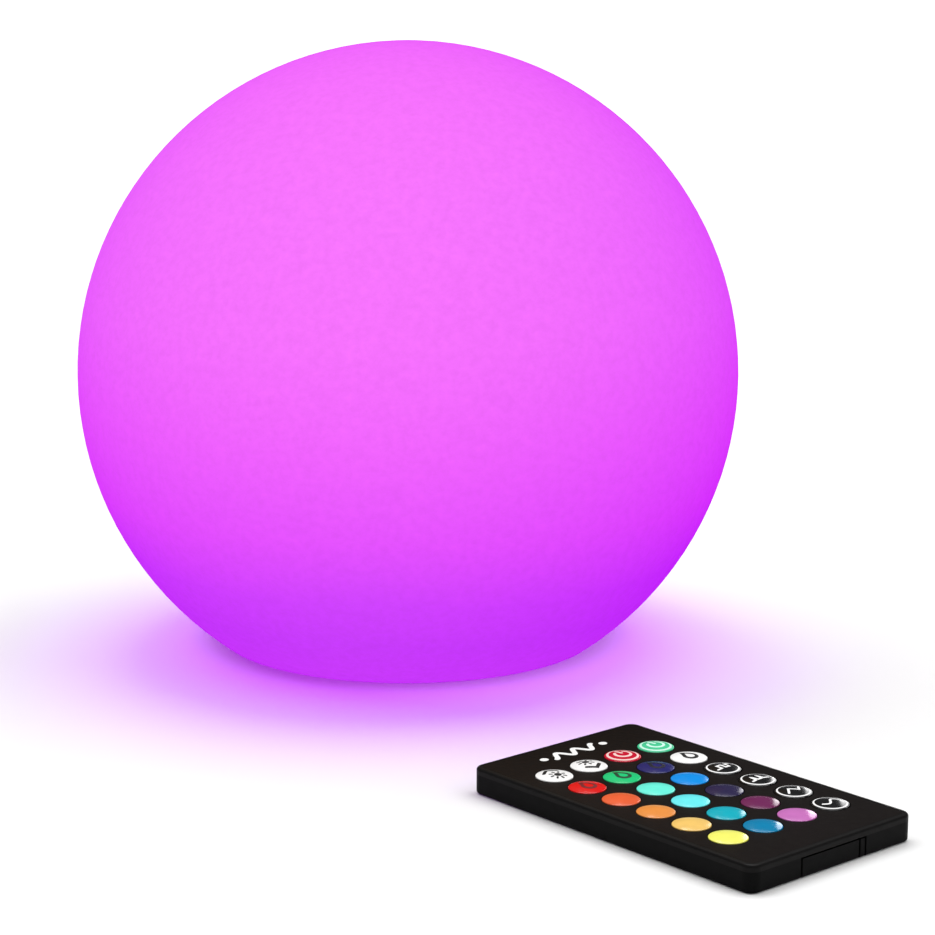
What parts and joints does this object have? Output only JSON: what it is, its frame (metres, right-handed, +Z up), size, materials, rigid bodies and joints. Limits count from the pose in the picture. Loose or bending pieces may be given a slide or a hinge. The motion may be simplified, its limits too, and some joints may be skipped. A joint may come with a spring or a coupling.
{
  "type": "floating globe light with remote control",
  "caption": "Frosted floating globe light on a small flat foot, with a sealed light unit underneath and a thin card remote with coloured domed keys.",
  "frame": {"origin": "centre of the globe's flat foot, on the surface it stands on", "axes": "+Z up through the globe's centre; the remote lies in front of the globe (-Y) and to its right (+X)"},
  "size_m": [0.2202, 0.3286, 0.1815],
  "materials": {
    "globe_polyethylene": "frosted, lit from inside",
    "insert_brass": "knurled",
    "base_plastic": "fine texture",
    "screw_steel": "bright",
    "seal_rubber": "matte",
    "dome_plastic": "frosted",
    "light_board_laminate": "solder mask",
    "emitter_resin": "clear resin in a white body",
    "infrared_resin": "dark tinted resin",
    "board_laminate": "solder mask",
    "chip_resin": "moulded resin",
    "socket_steel": "nickel plated",
    "button_silicone": "satin",
    "cell_wrap": "shrink wrapped",
    "lead_insulation": "satin",
    "harness_insulation": "satin",
    "connector_plastic": "natural nylon",
    "plug_silicone": "satin",
    "remote_plastic": "fine texture",
    "overlay_film": "satin printed film",
    "web_silicone": "translucent",
    "contact_metal": "plated",
    "coin_cell_steel": "bright",
    "key_brighter_cap": "glossy",
    "key_dimmer_cap": "glossy",
    "key_off_cap": "glossy",
    "key_on_cap": "glossy",
    "key_red_cap": "glossy",
    "key_green_cap": "glossy",
    "key_blue_cap": "glossy",
    "key_white_cap": "glossy",
    "key_scarlet_cap": "glossy",
    "key_aqua_cap": "glossy",
    "key_azure_cap": "glossy",
    "key_flash_cap": "glossy",
    "key_orange_cap": "glossy",
    "key_cyan_cap": "glossy",
    "key_indigo_cap": "glossy",
    "key_strobe_cap": "glossy",
    "key_amber_cap": "glossy",
    "key_teal_cap": "glossy",
    "key_plum_cap": "glossy",
    "key_fade_cap": "glossy",
    "key_yellow_cap": "glossy",
    "key_cerulean_cap": "glossy",
    "key_pink_cap": "glossy",
    "key_smooth_cap": "glossy"
  },
  "bodies": {
    "globe": {"globe_shell": "globe_polyethylene", "shell_inserts": "insert_brass", "base_housing": "base_plastic", "housing_screws": "screw_steel", "housing_gasket": "seal_rubber", "light_dome": "dome_plastic", "dome_seal": "seal_rubber", "led_board": "light_board_laminate", "led_emitters": "emitter_resin", "ir_receiver": "infrared_resin", "inner_screws": "screw_steel", "control_board": "board_laminate", "controller_chips": "chip_resin", "charge_socket": "socket_steel", "power_switch": "chip_resin", "battery_cell": "cell_wrap", "battery_clamp": "base_plastic", "battery_leads": "lead_insulation", "led_harness": "harness_insulation", "harness_connectors": "connector_plastic", "button_seal": "seal_rubber", "plug_anchor": "plug_silicone"},
    "power_button": {"power_button": "button_silicone", "switch_plunger": "button_silicone"},
    "port_plug": {"port_plug": "plug_silicone"},
    "remote": {"remote_top_case": "remote_plastic", "remote_bottom_case": "remote_plastic", "remote_overlay": "overlay_film", "keypad_web": "web_silicone", "remote_board": "board_laminate", "ir_emitter": "infrared_resin", "remote_components": "chip_resin", "cell_contacts": "contact_metal"},
    "battery_tray": {"battery_tray": "remote_plastic", "coin_cell": "coin_cell_steel"},
    "tray_latch": {"tray_latch": "remote_plastic"},
    "key_brighter": {"key_brighter": "key_brighter_cap"},
    "key_dimmer": {"key_dimmer": "key_dimmer_cap"},
    "key_off": {"key_off": "key_off_cap"},
    "key_on": {"key_on": "key_on_cap"},
    "key_red": {"key_red": "key_red_cap"},
    "key_green": {"key_green": "key_green_cap"},
    "key_blue": {"key_blue": "key_blue_cap"},
    "key_white": {"key_white": "key_white_cap"},
    "key_scarlet": {"key_scarlet": "key_scarlet_cap"},
    "key_aqua": {"key_aqua": "key_aqua_cap"},
    "key_azure": {"key_azure": "key_azure_cap"},
    "key_flash": {"key_flash": "key_flash_cap"},
    "key_orange": {"key_orange": "key_orange_cap"},
    "key_cyan": {"key_cyan": "key_cyan_cap"},
    "key_indigo": {"key_indigo": "key_indigo_cap"},
    "key_strobe": {"key_strobe": "key_strobe_cap"},
    "key_amber": {"key_amber": "key_amber_cap"},
    "key_teal": {"key_teal": "key_teal_cap"},
    "key_plum": {"key_plum": "key_plum_cap"},
    "key_fade": {"key_fade": "key_fade_cap"},
    "key_yellow": {"key_yellow": "key_yellow_cap"},
    "key_cerulean": {"key_cerulean": "key_cerulean_cap"},
    "key_pink": {"key_pink": "key_pink_cap"},
    "key_smooth": {"key_smooth": "key_smooth_cap"}
  },
  "joints": [
    {"name": "power_button_press", "type": "slide", "parent": "globe", "child": "power_button", "axis": [0, 0, 1], "range_m": [0, 0.0005], "stiffness_N_per_m": 2000},
    {"name": "port_plug_hinge", "type": "hinge", "parent": "globe", "child": "port_plug", "pos_m": [0.02, 0.02, 0.0025], "axis": [0, -1, 0], "range_deg": [0, 100]},
    {"name": "remote_lift", "type": "slide", "parent": "globe", "child": "remote", "axis": [0, 0, 1], "range_m": [0, 0.15]},
    {"name": "battery_tray_slide", "type": "slide", "parent": "remote", "child": "battery_tray", "axis": [0.6414, -0.7672, 0], "range_m": [0, 0.026]},
    {"name": "tray_latch_flex", "type": "hinge", "parent": "battery_tray", "child": "tray_latch", "pos_m": [0.1035, -0.20057, 0.0021], "axis": [0, 0, -1], "range_deg": [0, 3], "stiffness_Nm_per_rad": 0.05},
    {"name": "key_brighter_press", "type": "slide", "parent": "remote", "child": "key_brighter", "axis": [0, 0, -1], "range_m": [0, 0.00035], "stiffness_N_per_m": 1200},
    {"name": "key_dimmer_press", "type": "slide", "parent": "remote", "child": "key_dimmer", "axis": [0, 0, -1], "range_m": [0, 0.00035], "stiffness_N_per_m": 1200},
    {"name": "key_off_press", "type": "slide", "parent": "remote", "child": "key_off", "axis": [0, 0, -1], "range_m": [0, 0.00035], "stiffness_N_per_m": 1200},
    {"name": "key_on_press", "type": "slide", "parent": "remote", "child": "key_on", "axis": [0, 0, -1], "range_m": [0, 0.00035], "stiffness_N_per_m": 1200},
    {"name": "key_red_press", "type": "slide", "parent": "remote", "child": "key_red", "axis": [0, 0, -1], "range_m": [0, 0.00035], "stiffness_N_per_m": 1200},
    {"name": "key_green_press", "type": "slide", "parent": "remote", "child": "key_green", "axis": [0, 0, -1], "range_m": [0, 0.00035], "stiffness_N_per_m": 1200},
    {"name": "key_blue_press", "type": "slide", "parent": "remote", "child": "key_blue", "axis": [0, 0, -1], "range_m": [0, 0.00035], "stiffness_N_per_m": 1200},
    {"name": "key_white_press", "type": "slide", "parent": "remote", "child": "key_white", "axis": [0, 0, -1], "range_m": [0, 0.00035], "stiffness_N_per_m": 1200},
    {"name": "key_scarlet_press", "type": "slide", "parent": "remote", "child": "key_scarlet", "axis": [0, 0, -1], "range_m": [0, 0.00035], "stiffness_N_per_m": 1200},
    {"name": "key_aqua_press", "type": "slide", "parent": "remote", "child": "key_aqua", "axis": [0, 0, -1], "range_m": [0, 0.00035], "stiffness_N_per_m": 1200},
    {"name": "key_azure_press", "type": "slide", "parent": "remote", "child": "key_azure", "axis": [0, 0, -1], "range_m": [0, 0.00035], "stiffness_N_per_m": 1200},
    {"name": "key_flash_press", "type": "slide", "parent": "remote", "child": "key_flash", "axis": [0, 0, -1], "range_m": [0, 0.00035], "stiffness_N_per_m": 1200},
    {"name": "key_orange_press", "type": "slide", "parent": "remote", "child": "key_orange", "axis": [0, 0, -1], "range_m": [0, 0.00035], "stiffness_N_per_m": 1200},
    {"name": "key_cyan_press", "type": "slide", "parent": "remote", "child": "key_cyan", "axis": [0, 0, -1], "range_m": [0, 0.00035], "stiffness_N_per_m": 1200},
    {"name": "key_indigo_press", "type": "slide", "parent": "remote", "child": "key_indigo", "axis": [0, 0, -1], "range_m": [0, 0.00035], "stiffness_N_per_m": 1200},
    {"name": "key_strobe_press", "type": "slide", "parent": "remote", "child": "key_strobe", "axis": [0, 0, -1], "range_m": [0, 0.00035], "stiffness_N_per_m": 1200},
    {"name": "key_amber_press", "type": "slide", "parent": "remote", "child": "key_amber", "axis": [0, 0, -1], "range_m": [0, 0.00035], "stiffness_N_per_m": 1200},
    {"name": "key_teal_press", "type": "slide", "parent": "remote", "child": "key_teal", "axis": [0, 0, -1], "range_m": [0, 0.00035], "stiffness_N_per_m": 1200},
    {"name": "key_plum_press", "type": "slide", "parent": "remote", "child": "key_plum", "axis": [0, 0, -1], "range_m": [0, 0.00035], "stiffness_N_per_m": 1200},
    {"name": "key_fade_press", "type": "slide", "parent": "remote", "child": "key_fade", "axis": [0, 0, -1], "range_m": [0, 0.00035], "stiffness_N_per_m": 1200},
    {"name": "key_yellow_press", "type": "slide", "parent": "remote", "child": "key_yellow", "axis": [0, 0, -1], "range_m": [0, 0.00035], "stiffness_N_per_m": 1200},
    {"name": "key_cerulean_press", "type": "slide", "parent": "remote", "child": "key_cerulean", "axis": [0, 0, -1], "range_m": [0, 0.00035], "stiffness_N_per_m": 1200},
    {"name": "key_pink_press", "type": "slide", "parent": "remote", "child": "key_pink", "axis": [0, 0, -1], "range_m": [0, 0.00035], "stiffness_N_per_m": 1200},
    {"name": "key_smooth_press", "type": "slide", "parent": "remote", "child": "key_smooth", "axis": [0, 0, -1], "range_m": [0, 0.00035], "stiffness_N_per_m": 1200}
  ]
}
